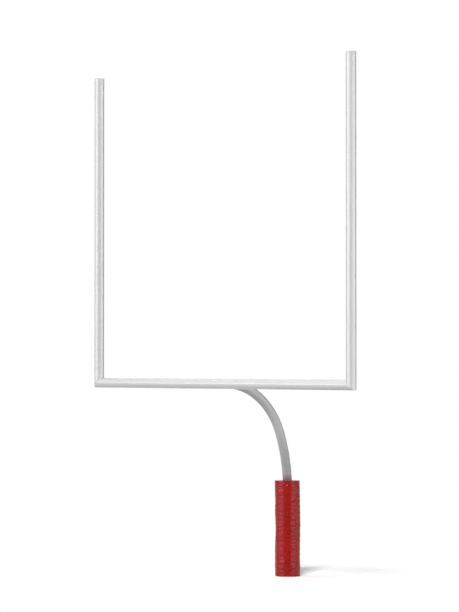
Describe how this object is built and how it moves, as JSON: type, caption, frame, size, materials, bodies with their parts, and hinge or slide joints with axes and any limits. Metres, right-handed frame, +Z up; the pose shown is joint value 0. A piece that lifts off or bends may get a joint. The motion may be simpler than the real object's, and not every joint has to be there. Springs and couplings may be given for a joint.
{
  "type": "american football goalpost",
  "caption": "Gooseneck goalpost with a straight crossbar, tall uprights mitred to its ends and a round fold-open pad on the post's foot.",
  "frame": {"origin": "on the ground, at the middle of the ground plate's underside, on the post's axis", "axes": "+Z up; +X along the crossbar, to the right as seen from the field; -Y towards the field, so the crossbar stands at Y = -1.396"},
  "size_m": [5.9438, 1.6701, 7.798],
  "materials": {
    "white_paint": "semi-gloss white powder coat",
    "white_plastic": "matt white moulded plastic",
    "galvanised_steel": "dull galvanised",
    "red_vinyl": "glossy creased vinyl-coated fabric",
    "pad_foam": "open foam",
    "hook_and_loop": "black hook-and-loop tape"
  },
  "bodies": {
    "goalpost": {"crossbar": "white_paint", "left_upright": "white_paint", "right_upright": "white_paint", "left_top_cap": "white_plastic", "right_top_cap": "white_plastic", "left_corner_elbow": "galvanised_steel", "right_corner_elbow": "galvanised_steel", "left_bar_screw_1": "galvanised_steel", "left_bar_screw_2": "galvanised_steel", "left_post_screw_1": "galvanised_steel", "left_post_screw_2": "galvanised_steel", "right_bar_screw_1": "galvanised_steel", "right_bar_screw_2": "galvanised_steel", "right_post_screw_1": "galvanised_steel", "right_post_screw_2": "galvanised_steel", "gooseneck": "galvanised_steel", "neck_saddle": "galvanised_steel", "gusset_1": "galvanised_steel", "gusset_2": "galvanised_steel", "gusset_3": "galvanised_steel", "gusset_4": "galvanised_steel", "crossbar_nut_plate": "galvanised_steel", "saddle_bolt_1": "galvanised_steel", "saddle_bolt_2": "galvanised_steel", "saddle_bolt_3": "galvanised_steel", "saddle_bolt_4": "galvanised_steel", "base_flange": "galvanised_steel", "ground_plate": "galvanised_steel", "anchor_stud_1": "galvanised_steel", "anchor_stud_2": "galvanised_steel", "anchor_stud_3": "galvanised_steel", "anchor_stud_4": "galvanised_steel", "levelling_nut_1": "galvanised_steel", "levelling_nut_2": "galvanised_steel", "levelling_nut_3": "galvanised_steel", "levelling_nut_4": "galvanised_steel", "stud_washer_1": "galvanised_steel", "stud_washer_2": "galvanised_steel", "stud_washer_3": "galvanised_steel", "stud_washer_4": "galvanised_steel", "top_nut_1": "galvanised_steel", "top_nut_2": "galvanised_steel", "top_nut_3": "galvanised_steel", "top_nut_4": "galvanised_steel", "pad_cover_front_right": "red_vinyl", "pad_welt_right": "red_vinyl", "pad_welt_front": "red_vinyl", "pad_foam_front_right": "pad_foam"},
    "pad_rear_right": {"pad_cover_rear_right": "red_vinyl", "pad_foam_rear_right": "pad_foam", "pad_closure_flap": "red_vinyl", "closure_hook_strip": "hook_and_loop"},
    "pad_front_left": {"pad_cover_front_left": "red_vinyl", "pad_foam_front_left": "pad_foam", "pad_welt_left": "red_vinyl"},
    "pad_rear_left": {"pad_cover_rear_left": "red_vinyl", "pad_foam_rear_left": "pad_foam", "closure_loop_strip": "hook_and_loop"}
  },
  "joints": [
    {"name": "rear_right_open", "type": "hinge", "parent": "goalpost", "child": "pad_rear_right", "pos_m": [0.19135, 0, 0.7375], "axis": [0, 0, -1], "range_deg": [0, 90]},
    {"name": "front_left_open", "type": "hinge", "parent": "goalpost", "child": "pad_front_left", "pos_m": [0, -0.19135, 0.7375], "axis": [0, 0, 1], "range_deg": [0, 63]},
    {"name": "rear_left_open", "type": "hinge", "parent": "pad_front_left", "child": "pad_rear_left", "pos_m": [-0.19135, 0, 0.7375], "axis": [0, 0, 1], "range_deg": [0, 63]}
  ],
  "couplings": [
    {"joint": "front_left_open", "follows": "rear_right_open", "ratio": 0.7},
    {"joint": "rear_left_open", "follows": "rear_right_open", "ratio": 0.7}
  ]
}
